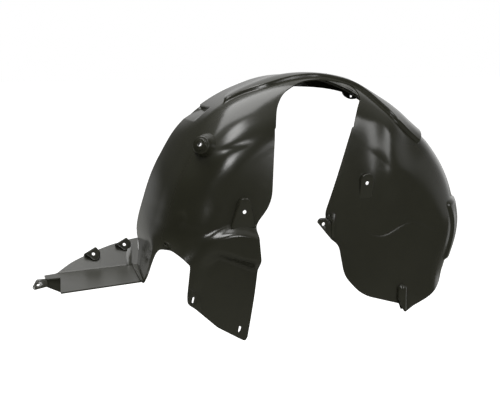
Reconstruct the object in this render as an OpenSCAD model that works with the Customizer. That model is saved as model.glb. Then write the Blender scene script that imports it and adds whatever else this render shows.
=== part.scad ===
// Wheel arch liner of a front wheel, one moulded piece, seen from the engine side.
// X runs to the rear of the car, Y to its outer side, Z up, and the wheel's centre is the origin.

/* [Arch] */
// radius of the roof over the wheel's centre, to the outer face
roof_r = 347; // [343:1:351]
// outer lip of the roof, from the wheel's middle plane
lip_y = 115; // [110:1:120]
// inner wall, from the wheel's middle plane
wall_y = 135; // [132:1:138]
// thickness of the moulding
wall = 2.8; // [2.6:0.1:3.2]
// how far the outer lip hangs down at the crown
lip_depth = 30; // [26:1:34]
// depth of the rounded shoulder between roof and wall
shoulder = 120; // [114:1:126]

/* [Roof] */
// height of the long raised band along the roof
band_h = 8; // [4:0.5:10]
// height of the raised strip on the rear shoulder
strip_h = 9; // [6:0.5:11]
// depth of the step behind the lip at the front
step_h = 9; // [6:0.5:11]

/* [Wall] */
// how far the ledge over the flat front panel stands out
ledge_h = 26; // [20:1:30]
// how far the lower rear panel stands out
panel_h = 6; // [4:0.5:8]
// depth of the soft hollow over the front panel
hollow_h = 8; // [4:0.5:10]
// radius of the screw holes in the pads
hole_r = 4; // [3:0.1:4.5]
// radius of the hole in the round boss
boss_hole_r = 4; // [3:0.1:5]
// length of the two slots of the flat front panel
slot_l = 15; // [11:0.5:17]
// width of those slots
slot_w = 5; // [4:0.1:6]

/* [Tray] */
// angle by which the tray's back wall leans outwards
tray_lean = 51; // [48:0.5:54]
// radius of the screw holes in the tray's pads
tray_hole_r = 3.5; // [3:0.1:4]
// drop of the flange at the tray's tip
tip_drop = 31; // [27:1:34]

/* [Hidden] */
body_black = [0.16, 0.16, 0.15];
over = 40;
shoulder_y = 20;
soft_p = 0.93;
centre_r = 10;

function clamp(v) = max(0, min(1, v));
function ease(a, b, v) = let(q = clamp((v - a) / (b - a))) q * q * (3 - 2 * q);
function mix(a, b, q) = a + (b - a) * q;
function bell(v, c, w) = exp(-pow((v - c) / w, 2));

// distance of the front foot from the wheel's centre, wider towards the engine side
function foot(y) = 349 + 35 * pow(clamp((lip_y - y) / 229), 0.75);
// radius of the roof at an angle from the rear, tucked in at the rear foot and flared at the front foot
function roof(a, y) =
    let(top = roof_r + 9 * (1 - ease(18, 44, a)) - 8 * ease(34, 48, a) * (1 - ease(60, 76, a)) * (1 - ease(20, 100, y))
            - 3 * ease(96, 112, a) + 4 * ease(160, 180, a))
    a < 14 ? mix(min(316 / cos(a), 366), top, ease(-26, 8, a)) :
    mix(top, foot(y) / cos(180 - a), ease(180, 192, a));
function shoulder_start(a) = -shoulder_y - (wall_y - shoulder_y - 16) * ease(176, 188, a);
function shoulder_r(a) = shoulder - 52 * (1 - ease(-10, 36, a));
function lip(a) = lip_depth * (a < 50 ? 0.47 - 0.27 * ease(30, 50, a) : max(0.2, 0.93 - 0.87 * (1 - ease(50, 88, a))));

// soft forms of the inner wall, as a height over its plain surface
function ledge(x, z) =
    let(k = clamp((x + 268) / 118), top = 6 + 44 * sin(118 * k))
    ledge_h * pow(k, 0.7) * (1 - ease(top - 30 * sqrt(k), top, z)) * ease(1 - 55 * k, 3 - 26 * k, z)
        * (1 - ease(-60, -20, x));
function low_panel(x, z) =
    let(crease = 20 + 13 * cos((x - 210) * 2.4), half = 7 + 26 * (1 - ease(40, 110, x)))
    panel_h * (1 - ease(crease - half, crease + half, z)) * ease(-40, 30, x) * (1 - ease(258, 272, x));
function rear_ridge(x, z) = 9 * bell(x, 160, 36) * ease(60, 150, z);
function front_hollow(x, z) = -hollow_h * bell(x, -222, 60) * bell(z, 98, 38);
function front_crease(x, z) =
    -4 * bell(z, 195 + 0.22 * (x + 227), 11) * ease(-235, -215, x) * (1 - ease(-150, -125, x));
function side_facet(x, z) = 5 * ease(-330, -318, x) * (1 - ease(-290, -282, x)) * (1 - ease(66, 80, z));
function wall_form(x, z) = ledge(x, z) + low_panel(x, z) + rear_ridge(x, z) + front_hollow(x, z)
    + front_crease(x, z) + (x < -200 ? side_facet(x, z) : 0);

// raised band, rear strip and front step of the roof
// the band's near edge runs down the shoulder towards the rear, and the stations slide with it
function band_edge(a) = 17.5 - 13 * ease(103, 123, a) - 8 * bell(a, 85, 10) + 26 * (1 - ease(52, 73, a));
function slide(a, q) = let(e = band_edge(a))
    q < 16 ? q / 16 * e : q > 18.5 ? e + 2.5 + (q - 18.5) / 71.5 * (87.5 - e) : e + q - 16;
function band(a, y, q) = band_h * (1 - 0.75 * ease(-30, 50, y)) * ease(40, 40.8, a) * (1 - ease(119, 119.8, a)) * (1 - ease(59, 64, y))
    * (1 - ease(0, 2.5, q - band_edge(a)));
function strip(a, y, q) = strip_h * ease(-11.5, -9.5, a) * (1 - ease(11, 13.2, a)) * (1 - ease(0, 30, y))
    * (1 - ease(59.2, 66.2, q));
function step(a, y) = a < 125.3 || a > 133.4 ? 0 : -step_h * (133.4 - a) / 8 * ease(125.3, 125.9, a)
    * ease(17, 31, y);

// stations along a section: lip, roof, shoulder, wall
stations = concat(
    [for (k = [0, 0.5, 1]) [0, k]],
    [for (k = [0, 0.16, 0.36, 0.4, 0.6, 0.8, 1]) [1, k]],
    [for (q = [5.5, 11, 16, 18.5, 27, 37, 49, 61, 71, 80, 90]) [2, q]],
    [for (k = [0.06, 0.12, 0.18, 0.24, 0.3, 0.36, 0.43, 0.51, 0.6, 0.72, 0.86, 1]) [3, k]]);
angles = concat([for (a = [-60:4:-16]) a], [-11.5, -9.5, -5, -1], [for (a = [3:4:11]) a], [13.2, 16],
    [for (a = [19:3.4:37]) a], [40, 40.8], [for (a = [44:3.6:116]) a], [119, 119.8, 122.5, 125.3, 125.9, 129.5, 133.4],
    [for (a = [136.5:3.3:159.6]) a], [for (a = [162.2:2.35:195.1]) a], [for (a = [198:3.4:228.6]) a]);

// a point of the skin, at a depth under the outer face
function skin_point(a, s, depth) =
    let(y0 = shoulder_start(a), k = s[0] == 2 ? slide(a, s[1]) : s[1],
        r = roof(a, s[0] == 0 ? lip_y : s[0] == 1 ? mix(lip_y, y0, k) : y0),
        b = shoulder_r(a), ay = wall_y + y0,
        base = s[0] == 0 ? [lip_y, r - 4 - (lip(a) - 4) * (1 - k)] :
            s[0] == 1 ? [mix(lip_y - 4, y0, k), r] :
            s[0] == 2 ? [y0 - ay * pow(sin(k), soft_p), r - b + b * pow(cos(k), soft_p)] :
            [-wall_y - 5 * sin(180 * k), mix(r - b, centre_r, k)],
        n0 = s[0] == 0 ? [1, k == 1 ? 0.4 : 0] :
            s[0] == 1 ? [k == 0 ? 0.4 : 0, 1] :
            s[0] == 2 ? [-pow(sin(k), 2 - soft_p) / ay, pow(cos(k), 2 - soft_p) / b] :
            [-1, 0],
        n = n0 / norm(n0),
        x = base[1] * cos(a), z = base[1] * sin(a),
        q = s[0] == 2 ? k : 0,
        form = s[0] == 0 ? 0 :
            s[0] == 3 ? wall_form(x, z) :
            band(a, base[0], q) + strip(a, base[0], q) + step(a, base[0])
                + (s[0] == 2 ? wall_form(x, z) * ease(25, 60, k) : 0),
        y = base[0] + n[0] * (form - depth), rr = base[1] + n[1] * (form - depth))
    [rr * cos(a), y, rr * sin(a)];

// closed thin skin over the whole grid
module skin() {
    nu = len(angles) - 1;
    nv = len(stations) - 1;
    n = (nu + 1) * (nv + 1);
    function id(i, j) = i * (nv + 1) + j;
    points = concat([for (a = angles) for (s = stations) skin_point(a, s, wall)],
        [for (a = angles) for (s = stations) skin_point(a, s, 0)]);
    // each cell is split along its shorter diagonal
    function flip(i, j) = angles[i] > 150 && norm(points[n + id(i + 1, j)] - points[n + id(i, j + 1)])
        < 0.92 * norm(points[n + id(i, j)] - points[n + id(i + 1, j + 1)]);
    faces = concat(
        [for (i = [0:nu - 1]) for (j = [0:nv - 1]) for (f = flip(i, j) ?
            [[id(i, j), id(i + 1, j), id(i, j + 1)], [id(i + 1, j), id(i + 1, j + 1), id(i, j + 1)]] :
            [[id(i, j), id(i + 1, j), id(i + 1, j + 1)], [id(i, j), id(i + 1, j + 1), id(i, j + 1)]]) f],
        [for (i = [0:nu - 1]) for (j = [0:nv - 1]) for (f = flip(i, j) ?
            [[id(i, j), id(i, j + 1), id(i + 1, j)], [id(i + 1, j), id(i, j + 1), id(i + 1, j + 1)]] :
            [[id(i, j), id(i + 1, j + 1), id(i + 1, j)], [id(i, j), id(i, j + 1), id(i + 1, j + 1)]])
            [n + f[0], n + f[1], n + f[2]]],
        [for (j = [0:nv - 1]) [id(0, j), id(0, j + 1), n + id(0, j + 1)]],
        [for (j = [0:nv - 1]) [id(0, j), n + id(0, j + 1), n + id(0, j)]],
        [for (j = [0:nv - 1]) [id(nu, j + 1), id(nu, j), n + id(nu, j)]],
        [for (j = [0:nv - 1]) [id(nu, j + 1), n + id(nu, j), n + id(nu, j + 1)]],
        [for (i = [0:nu - 1]) [id(i + 1, 0), id(i, 0), n + id(i, 0)]],
        [for (i = [0:nu - 1]) [id(i + 1, 0), n + id(i, 0), n + id(i + 1, 0)]],
        [for (i = [0:nu - 1]) [id(i, nv), id(i + 1, nv), n + id(i + 1, nv)]],
        [for (i = [0:nu - 1]) [id(i, nv), n + id(i + 1, nv), n + id(i, nv)]]);
    polyhedron(points = points, faces = faces);
}

// outline with softened corners: each point is [x, y, length taken off at the corner]
function corner(a, b, c, cut) =
    let(t = min(cut, 0.46 * norm(a - b), 0.46 * norm(c - b)),
        p = b + (a - b) / norm(a - b) * t, q = b + (c - b) / norm(c - b) * t)
    [for (k = [0:0.25:1]) (1 - k) * (1 - k) * p + 2 * k * (1 - k) * b + k * k * q];
function soft(pts) = let(n = len(pts)) [for (i = [0:n - 1])
    let(a = pts[(i + n - 1) % n], b = pts[i], c = pts[(i + 1) % n])
    for (p = b[2] > 0 ? corner([a[0], a[1]], [b[0], b[1]], [c[0], c[1]], b[2]) : [[b[0], b[1]]]) p];

// prism over a side view outline, between two depths
module side(from, to) {
    translate([0, to, 0]) rotate([90, 0, 0]) linear_extrude(to - from) children();
}

// opening between the two lobes, side view and plan view
window_side = [[-101, 244, 0], [-106, 165, 40], [-110, 90, 22], [-148, 44, 14], [-145, 8, 18],
    [-143, -34, 26], [-149, -122, 40], [-162, -197, 12], [-186, -197, 0], [-186, -600, 0], [197, -600, 0], [199, -167, 0],
    [184, -146, 3], [94, -120, 26], [54, -76, 18], [41, -8, 14], [20, 8, 8], [8, 62, 12], [70, 244, 0]];
window_plan = [[-101, -over - wall_y, 0], [-101, -135, 4], [-92, -114, 10], [-72, -94, 12], [-14, -67, 16], [30, -58, 14],
    [97, -56, 17], [103, -98, 14], [80, -127, 10], [67, -138, 3], [66, -over - wall_y, 0]];
// what is cut away under the rear lobe and under the front lobe
rear_under = [[-100, -600, 0], [-100, -260, 0], [140, -190, 0], [199, -167, 3], [218, -154, 4], [251, -139, 6], [276, -123, 8], [293, -105, 8],
    [300, -80, 0], [420, -62, 0],
    [640, -62, 0], [640, -600, 0]];
front_under = [[-184, -197, 3], [-226, -171, 6], [-274, -125, 4], [-290, -113, 8], [-291, -98, 6], [-284, -40, 0],
    [-284, -33, 8], [-300, -17, 8], [-318, -3, 7], [-338, -3, 7], [-347, -13, 5], [-362, -36, 6], [-378, -66, 0], [-384, -66, 0], [-384, -600, 0],
    [-184, -600, 0]];

module openings() {
    side(-wall_y - over, -40) polygon(soft(window_side));
    translate([0, 0, 242]) linear_extrude(140) polygon(soft(window_plan));
    side(-wall_y - over, lip_y + over) polygon(soft(rear_under));
    side(-wall_y - over, -84) polygon(soft(front_under));
    // front foot of the roof, over the tray's floor and along its leaning back wall
    side(-wall_y - over, lip_y + over) polygon([[-292, -60], [-460, -69], [-460, -600], [-292, -600]]);
    translate([0, tray_y, -62]) rotate([-tray_lean, 0, 0]) translate([-430, -2, -400]) cube([138, 300, 400 + 180]);
}

// pads on the wall: a raised face that slants back to its foot, hollow behind
arch_x = 100;
arch_z = 130;
arch_w = 29;
module arch_outline(inset) {
    translate([arch_x, arch_z]) circle(r = arch_w / 2 - inset, $fn = 48);
    translate([arch_x - arch_w / 2 + inset, arch_z - 44 + inset]) square([arch_w - 2 * inset, 44 - inset]);
}
a_pad = [[-182, 96, 6], [-176, 104, 4], [-164, 104, 4], [-158, 96, 6], [-149, 50, 0], [-197, 50, 0]];
a_pad_in = [[-179, 95, 5], [-174, 101, 3], [-166, 101, 3], [-161, 95, 5], [-153, 54, 0], [-193, 54, 0]];
// keeps what lies behind a slanted face through two points of depth and height
module behind(y_top, z_top, y_foot, z_foot) {
    translate([-500, 0, 0]) rotate([90, 0, 90]) linear_extrude(1000)
        polygon([[y_foot, z_foot - 60], [y_foot, z_foot], [y_top, z_top], [y_top, z_top + 60], [0, z_top + 60],
            [0, z_foot - 60]]);
}
module arch_pad(inset) {
    intersection() {
        side(-wall_y - 30, -wall_y + (inset > 0 ? 8 : -1)) arch_outline(inset);
        behind(-wall_y - 14 + inset, 140, -wall_y - 4 + inset, 88);
    }
}
module a_pad_form(inset) {
    intersection() {
        side(-wall_y - 30, -wall_y + (inset > 0 ? 12 : 3)) polygon(soft(inset > 0 ? a_pad_in : a_pad));
        behind(-wall_y - 14 + inset, 100, -wall_y - 9 + inset, 54);
    }
}

// round boss near the crown of the front lobe, turned down a little from the skin's normal
boss_turn = 13.4;
module boss_frame() {
    translate([(roof_r - 24.2) * cos(139.65), -wall_y + 36, (roof_r - 24.2) * sin(139.65)]) rotate([0, 75, 230])
        children();
}
module boss() {
    boss_frame() intersection() {
        translate([0, 0, -28]) cylinder(h = 44, r1 = 41.6, r2 = 12.5, $fn = 48);
        rotate([0, -boss_turn, 0]) translate([-60, -60, -14]) cube(120);
    }
}

// middle of the tab under the outer lip
module lip_tab_frame() {
    translate([(roof_r - 8.4) * cos(60.3), 0, (roof_r - 8.4) * sin(60.3)]) children();
}

// upright half-round rib at the foot of the rear lobe
module foot_rib(r) {
    translate([193, -wall_y - 7, -190]) cylinder(h = 78, r = r, $fn = 32);
    translate([193, -wall_y - 7, -112]) sphere(r = r, $fn = 24);
}

module slot(x, z, turn) {
    translate([x, 0, z]) rotate([0, turn, 0]) side(-wall_y - 30, -wall_y + 30) {
        square([slot_w, slot_l - slot_w], center = true);
        for (k = [-1, 1]) translate([0, k * (slot_l - slot_w) / 2]) circle(r = slot_w / 2, $fn = 24);
    }
}
module bore(x, z, r) {
    translate([x, -wall_y + 30, z]) rotate([90, 0, 0]) cylinder(h = 60, r = r, $fn = 32);
}

// tray frame: X along the tray, Z up from its floor
tray_y = 40;
tray_back = [[-161, 0, 0], [-127, 25, 14], [-99, 38, 14], [-62, 53, 14], [-32, 63, 14], [8, 72, 8], [30, 75, 0], [18, 0, 0]];
pad_shape = [[-12, 17, 0], [15, 30, 3], [24, 17, 5], [20, 3, 8], [9, -3, 6]];
pad_inside = [[-6, 17.5, 0], [14, 26.5, 2], [21, 16.5, 4], [17.5, 5, 6], [9.5, 0, 4]];
pad_places = [[-84, 14.5, 59], [-13, 25, 73]];
module tray_frame() {
    translate([-375, 0, -61]) rotate([0, -3.15, 0]) children();
}
module lean(angle) {
    rotate([90 - angle, 0, 0]) children();
}
module pad_frame(p) {
    translate([p[0], p[2], p[1]]) lean(24) children();
}

module tray() {
    tray_frame() difference() {
        union() {
            translate([0, 0, -wall]) linear_extrude(wall)
                polygon(soft([[-3.8, -116, 0], [-171, -131, 0], [-157, -4, 3], [-187, -2, 0], [-187, 36, 3],
                    [-161, tray_y + wall / 2, 0], [15, tray_y + wall / 2, 0]]));
            translate([0, tray_y, 0]) lean(tray_lean) translate([0, 0, -wall]) linear_extrude(wall)
                polygon(soft(tray_back));
            // raised end of the back wall, beside the shell
            translate([0, tray_y, 0]) lean(tray_lean) linear_extrude(4)
                polygon(soft([[12, 58, 0], [8, 54, 6], [-5, 32, 14], [-9, -5, 0], [1, -5, 0]]));
            // bead along the floor's rear edge
            translate([-9, -115.5, -1]) rotate([0, 0, -4]) cube([3.5, 154, 4.5]);
            // flange under the tip and its tab
            translate([0, 1.4, 0]) rotate([90, 0, 0]) linear_extrude(wall)
                polygon([[-187, 0], [-150, 0], [-150, -tip_drop - 2], [-158, -tip_drop - 2], [-187, -17]]);
            translate([0, 2.4, -1]) rotate([70, 0, 0]) linear_extrude(wall)
                polygon(soft([[-185, 0, 0], [-206, 1, 3], [-217, -15, 3], [-213, -20, 2], [-185, -16, 0]]));
            for (p = pad_places) pad_frame(p) intersection() {
                translate([0, 0, -40]) linear_extrude(44) polygon(soft(pad_shape));
                translate([-40, -20, -13]) cube([80, 60, 30]);
            }
        }
        for (p = pad_places) pad_frame(p) {
            translate([0, 0, -60]) linear_extrude(60 + 4 - wall) polygon(soft(pad_inside));
            translate([8, 14, -20]) cylinder(h = 40, r = tray_hole_r, $fn = 32);
        }
        translate([-199, 10, -9]) rotate([90, 0, 0]) linear_extrude(20) {
            circle(r = 2.5, $fn = 24);
            translate([2, 0]) circle(r = 2.5, $fn = 24);
        }
    }
}

// hollow insides of the pads and the holes through them
module insides() {
    arch_pad(wall);
    a_pad_form(wall);
    boss_frame() translate([0, 0, -34]) cylinder(h = 50 - wall, r1 = 42.9, r2 = 10.2, $fn = 48);
    foot_rib(7.5 - wall);
}
module holes() {
    boss_frame() translate([0, 0, -30]) cylinder(h = 60, r = boss_hole_r, $fn = 32);
    bore(arch_x, 124, hole_r);
    bore(-171, 75, hole_r);
    bore(4, 40, hole_r);
    slot(-279, -105, 12);
    slot(-180, -173, 12);
    lip_tab_frame() translate([0, lip_y + 20, 0]) rotate([90, 0, 0]) cylinder(h = 40, r = 3, $fn = 24);
}
module pads() {
    difference() {
        union() {
            arch_pad(0);
            a_pad_form(0);
            boss();
            intersection() {
                foot_rib(7.5);
                side(-wall_y - 20, -wall_y + 20)
                    polygon([[180, -90], [180, -145], [186, -148], [199, -167], [210, -158], [210, -90]]);
            }
            // raised corner round the front slot
            side(-wall_y - 4, -wall_y - 0.5)
                polygon(soft([[-287, -82, 3], [-267, -104, 4], [-267, -128, 0], [-274, -124, 0], [-289, -112, 8],
                    [-290, -98, 0]]));
            // tab on the edge of the rear lobe
            side(-wall_y - 6.5, -wall_y - 1.5)
                polygon(soft([[12, 53, 0], [-4, 53, 5], [-10, 45, 4], [22, 8, 3], [28, 8, 0], [26, 56, 0]]));
            for (k = [0, 1]) translate([13 + 5 * k, -wall_y - 3, 60 - 3 * k]) rotate([0, 35, 0])
                cube([2, 5, 11], center = true);
            // tab under the outer lip and a nib on the crown
            lip_tab_frame() side(lip_y - wall - 0.2, lip_y + 0.2)
                polygon(soft([[-20.4, 15, 0], [-23, 9, 3], [-17.6, 0.4, 4], [-7.2, -5.6, 5], [0.3, -7.4, 4], [8.1, -7, 4],
                    [15.7, -5.4, 0], [3.4, 2.5, 0], [-7, 8.3, 0]]));
            translate([43, -12, roof_r - 4]) cube([16, 24, 8]);
        }
        insides();
        holes();
    }
}

module arch_liner() {
    color(body_black) {
        difference() {
            skin();
            openings();
            insides();
            holes();
        }
        pads();
        tray();
    }
}

arch_liner();
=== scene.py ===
import math
import bpy
import bmesh
import numpy as np
from mathutils import Matrix, Vector


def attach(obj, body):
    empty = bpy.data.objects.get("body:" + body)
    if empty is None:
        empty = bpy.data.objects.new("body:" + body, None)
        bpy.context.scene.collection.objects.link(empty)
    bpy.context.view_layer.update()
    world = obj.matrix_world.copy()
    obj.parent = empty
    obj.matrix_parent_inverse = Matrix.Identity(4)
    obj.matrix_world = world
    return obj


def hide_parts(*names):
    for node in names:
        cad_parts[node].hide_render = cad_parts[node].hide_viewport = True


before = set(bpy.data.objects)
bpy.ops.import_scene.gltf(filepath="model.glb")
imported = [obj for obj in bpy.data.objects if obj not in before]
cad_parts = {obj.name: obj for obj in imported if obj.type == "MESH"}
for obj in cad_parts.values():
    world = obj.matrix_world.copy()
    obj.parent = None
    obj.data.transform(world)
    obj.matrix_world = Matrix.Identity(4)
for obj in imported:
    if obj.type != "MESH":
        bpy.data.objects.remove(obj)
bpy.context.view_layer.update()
for name in ("Cube", "Camera", "Light"):  # Blender's own start objects
    if name in bpy.data.objects:
        bpy.data.objects.remove(bpy.data.objects[name])
mm = 0.001
print("frame loaded")

# X runs to the rear of the car, Y to its outer side, Z up, sizes in mm from the wheel's centre.
# Angles run in degrees from the rear over the top to the front; a form that comes and goes has
# four limits: start, full, fade, end.
arch = {
    "roofRadius": 347, "lipY": 115, "wallY": 135, "wall": 2.8, "centreRadius": 10, "wallBulge": 5,
    "shoulder": 120, "shoulderY": 20, "softPower": 0.93,
    # the shoulder is tighter at the rear and ends short of the wall at the front foot
    "rearTighter": 52, "rearTighterAngles": (-10, 36), "footGap": 16, "footGapAngles": (176, 188),
    # inward lip: depth, and its share of that depth from one end of the angles to the other
    "lipDepth": 30, "lipRound": 4, "rearLip": (0.47, 0.2), "rearLipAngles": (30, 50),
    "frontLip": (0.06, 0.93), "frontLipAngles": (50, 88),
    # changes of the roof's radius
    "rearFlare": 9, "rearFlareAngles": (18, 44), "bandTuck": 8, "bandTuckAngles": (34, 48, 60, 76),
    "bandTuckY": (20, 100), "crownTuck": 3, "crownTuckAngles": (96, 112), "frontFlare": 4,
    "frontFlareAngles": (160, 180), "frontTuck": 5, "frontTuckAngles": (136, 150, 166, 180),
    # both feet run straight down
    "rearFootX": 316, "rearFootReach": 366, "rearFootAngles": (-26, 8), "rearEndsAt": 14,
    "frontFootX": 349, "frontFootAngles": (180, 192), "footFlare": 35, "footFlareWidth": 229,
    "footFlarePower": 0.75,
    # the front flank curves in towards the shoulder
    "flankCurve": 7, "flankAngles": (124, 142, 172, 184), "flankSpread": 4.6,
    # mesh: range of angles, steps, and finer steps where a form starts at once
    "angleRange": (-60, 232), "columnStep": 0.8, "lipRows": 7, "roofRows": 30, "shoulderStep": 2.0,
    "wallRows": 66, "fineRows": {16.6, 17.2, 17.8, 18.5, 37.0},
    "fineColumns": [39.8, 40.0, 40.15, 40.4, 40.65, 40.8, 41, 118.8, 119.0, 119.15, 119.4, 119.65,
                    119.8, 120, 125.2, 125.3, 125.45, 125.6, 125.75, 125.9, 126.1, 133.2, 133.4,
                    133.6],
    "slotColumns": [(199.4, 202.0), (222.6, 225.4)], "slotColumnStep": 0.32, "columnGap": 0.3,
    # places where the moulding runs softly: centre, radius, rounds of averaging; the core is the
    # share of the radius that is softened in full
    "softPlaces": [((-300, -120, -20), 80, 80), ((-205, -150, 30), 60, 4)], "softCore": 0.55,
    "lipCorner": 0.4,  # how far the skin leans over where roof and lip meet
}

# soft forms of the inner wall, as heights over its plain surface
wallForms = {
    # ledge over the front foot: from a point at the front it widens towards the window
    "ledgeHeight": 24, "ledgeStart": -268, "ledgeLength": 118, "ledgePower": 0.7,
    "ledgeTop": (6, 44, 118), "ledgeSlope": 25, "ledgeFold": (1, -55, 3, -26),
    "ledgeEnd": (-60, -20),
    # low panel of the rear lobe: its wavy top edge, and how soft that edge is
    "panelHeight": 0.9, "panelTop": (20, 13, 210, 2.4), "panelSoft": (3, 30, 40, 110),
    "panelX": (-40, 30, 258, 272),
    "ridgeHeight": 9, "ridgeX": (160, 36), "ridgeZ": (60, 150),
    "hollowDepth": 3, "hollowX": (-222, 60), "hollowZ": (98, 38),
    "creaseDepth": 0.8, "creaseAt": (-227, 197, 0.24), "creaseWidth": 6,
    "creaseX": (-232, -215, -170, -135),
    "facetHeight": 2.5, "facetX": (-330, -318, -290, -284), "facetZ": (66, 80),
}

# raised band over the crown, strip at the rear and notch step at the front of the roof
roofForms = {
    "bandHeight": 8, "bandAngles": (40, 40.8, 118.4, 119.2), "bandY": (59, 64),
    "bandEdgeWidth": 2.5, "bandFall": 0.75, "bandFallY": (-30, 50),
    # the band's front end stands across it at a slant
    "bandSlant": 0.065, "bandSlantY": 13, "bandSlantAngles": (90, 110),
    # the band's near edge, in degrees round the shoulder
    "edge": 17.5, "edgeRise": 13, "edgeRiseAngles": (103, 123), "edgeWave": 8,
    "edgeWaveAngles": (85, 10), "edgeRun": 26, "edgeRunAngles": (52, 73), "edgeRows": (16, 18.5),
    "stripHeight": 6, "stripAngles": (-11.5, -10, 11.7, 13.2), "stripY": (0, 30),
    "stripInner": (59.2, 64.5),
    "stepHeight": 9, "stepAngles": (125.3, 125.9, 133.4), "stepRun": 8, "stepY": (17, 31),
    "wallFormsFrom": (25, 60),
}


def clamp(v):
    return np.clip(v, 0, 1)


def ease(start, end, v):
    q = clamp((v - start) / (end - start))
    return q * q * (3 - 2 * q)


def between(start, full, fade, end, v):
    return ease(start, full, v) * (1 - ease(fade, end, v))


def mix(a, b, q):
    return a + (b - a) * q


def bell(centre, width, v):
    return np.exp(-((v - centre) / width) ** 2)


def cosd(a):
    return np.cos(np.radians(a))


def sind(a):
    return np.sin(np.radians(a))


def footDistance(y):
    across = clamp((arch["lipY"] - y) / arch["footFlareWidth"])
    return arch["frontFootX"] + arch["footFlare"] * across ** arch["footFlarePower"]


def roofRadius(a, y):  # tucked in at the rear foot, flared at the front foot
    top = (arch["roofRadius"] + arch["rearFlare"] * (1 - ease(*arch["rearFlareAngles"], a))
           - (arch["bandTuck"] * between(*arch["bandTuckAngles"], a)
              * (1 - ease(*arch["bandTuckY"], y)))
           - arch["crownTuck"] * ease(*arch["crownTuckAngles"], a)
           + arch["frontFlare"] * ease(*arch["frontFlareAngles"], a)
           - arch["frontTuck"] * between(*arch["frontTuckAngles"], a))
    rearLine = np.minimum(arch["rearFootX"] / np.maximum(cosd(a), 0.2), arch["rearFootReach"])
    rear = mix(rearLine, top, ease(*arch["rearFootAngles"], a))
    frontLine = footDistance(y) / np.maximum(cosd(180 - a), 0.2)
    front = mix(top, frontLine, ease(*arch["frontFootAngles"], a))
    return np.where(a < arch["rearEndsAt"], rear, front)


def shoulderStart(a):
    rest = arch["wallY"] - arch["shoulderY"] - arch["footGap"]
    return -arch["shoulderY"] - rest * ease(*arch["footGapAngles"], a)


def shoulderRadius(a):
    return arch["shoulder"] - arch["rearTighter"] * (1 - ease(*arch["rearTighterAngles"], a))


def lipDepth(a):
    rear = mix(*arch["rearLip"], ease(*arch["rearLipAngles"], a))
    front = mix(*arch["frontLip"], ease(*arch["frontLipAngles"], a))
    front = np.maximum(arch["rearLip"][1], front)
    return arch["lipDepth"] * np.where(a < arch["rearLipAngles"][1], rear, front)


def ledge(x, z):
    form = wallForms
    k = clamp((x - form["ledgeStart"]) / form["ledgeLength"])
    low, rise, turn = form["ledgeTop"]
    top = low + rise * sind(turn * k)
    foldLow, lowFall, foldHigh, highFall = form["ledgeFold"]
    slope = 1 - ease(top - form["ledgeSlope"] * np.sqrt(k) - 0.01, top, z)
    fold = ease(foldLow + lowFall * k, foldHigh + highFall * k, z)
    return (form["ledgeHeight"] * k ** form["ledgePower"] * slope * fold
            * (1 - ease(*form["ledgeEnd"], x)))


def lowPanel(x, z):
    height, wave, middle, rate = wallForms["panelTop"]
    crease = height + wave * cosd((x - middle) * rate)
    sharp, soft, start, end = wallForms["panelSoft"]
    half = sharp + soft * (1 - ease(start, end, x))
    return (wallForms["panelHeight"] * (1 - ease(crease - half, crease + half, z))
            * between(*wallForms["panelX"], x))


def wallForm(x, z):
    form = wallForms
    ridge = form["ridgeHeight"] * bell(*form["ridgeX"], x) * ease(*form["ridgeZ"], z)
    hollow = -form["hollowDepth"] * bell(*form["hollowX"], x) * bell(*form["hollowZ"], z)
    creaseX, creaseZ, slant = form["creaseAt"]
    crease = -form["creaseDepth"] * between(*form["creaseX"], x)
    crease = crease * bell(creaseZ + slant * (x - creaseX), form["creaseWidth"], z)
    facet = form["facetHeight"] * between(*form["facetX"], x) * (1 - ease(*form["facetZ"], z))
    return ledge(x, z) + lowPanel(x, z) + ridge + hollow + crease + facet


def bandEdge(a):  # the band's near edge runs down the shoulder towards the rear
    form = roofForms
    return (form["edge"] - form["edgeRise"] * ease(*form["edgeRiseAngles"], a)
            - form["edgeWave"] * bell(*form["edgeWaveAngles"], a)
            + form["edgeRun"] * (1 - ease(*form["edgeRunAngles"], a)))


def slide(a, q):  # rows follow the band's near edge
    edge, (start, end) = bandEdge(a), roofForms["edgeRows"]
    width = end - start
    after = edge + width + (q - end) / (90 - end) * (90 - width - edge)
    return np.where(q < start, q / start * edge, np.where(q > end, after, edge + q - start))


def roofForm(a, y, q):
    form = roofForms
    slant = a + form["bandSlant"] * (y - form["bandSlantY"]) * ease(*form["bandSlantAngles"], a)
    start, full, fade, end = form["bandAngles"]
    band = (form["bandHeight"] * (1 - form["bandFall"] * ease(*form["bandFallY"], y))
            * ease(start, full, a) * (1 - ease(fade, end, slant)) * (1 - ease(*form["bandY"], y))
            * (1 - ease(0, form["bandEdgeWidth"], q - bandEdge(a))))
    strip = (form["stripHeight"] * between(*form["stripAngles"], a) * (1 - ease(*form["stripY"], y))
             * (1 - ease(*form["stripInner"], q)))
    first, deep, last = form["stepAngles"]
    step = (-form["stepHeight"] * (last - a) / form["stepRun"] * ease(first, deep, a)
            * ease(*form["stepY"], y) * ((a >= first) & (a <= last)))
    return band + strip + step


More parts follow.
